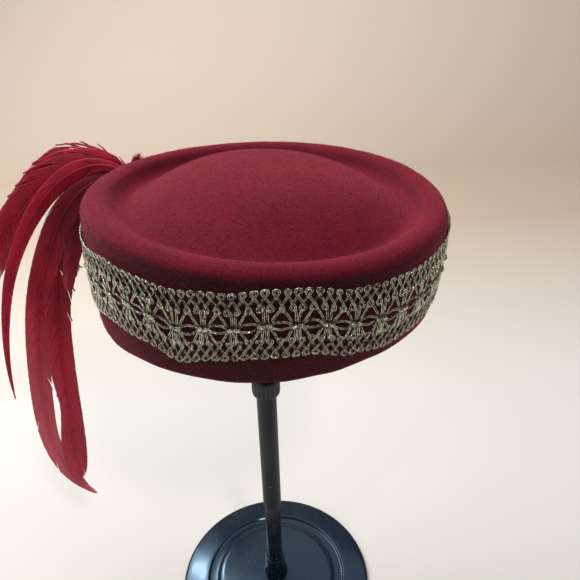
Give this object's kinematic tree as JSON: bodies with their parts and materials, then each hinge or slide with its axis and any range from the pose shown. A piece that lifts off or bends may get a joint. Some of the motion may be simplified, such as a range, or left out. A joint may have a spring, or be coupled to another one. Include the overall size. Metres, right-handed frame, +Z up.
{
  "type": "felt pillbox hat on a plain hat stand",
  "caption": "Felt pillbox hat with a rolled rim, an openwork metal-thread braid and a hanging feather plume, resting on a plain telescopic stand.",
  "frame": {"origin": "middle of the underside of the stand's round foot, on the surface that it stands on", "axes": "+Z up along the stand, -Y to the front that the picture shows, -X to the side of the plume"},
  "size_m": [0.3397, 0.1922, 0.36],
  "materials": {
    "felt": "dense wine-red wool felt with a short soft nap",
    "metal_thread": "tarnished gold and silver metal thread, satin",
    "feather": "dyed cockerel feathers, soft sheen",
    "gloss_base": "glossy blue-black moulding",
    "gloss_tube": "glossy black paint",
    "matt_tube": "matt grey-black coating with small chips",
    "collar": "satin black moulding"
  },
  "bodies": {
    "root": {"stand_base": "gloss_base", "foot_socket": "gloss_tube", "lower_tube": "gloss_tube", "upper_tube": "matt_tube", "locking_collar": "collar", "inner_rod": "gloss_tube", "crown_pad": "collar", "felt_body": "felt", "braid_band": "metal_thread", "feather_plume": "feather"}
  },
  "joints": []
}
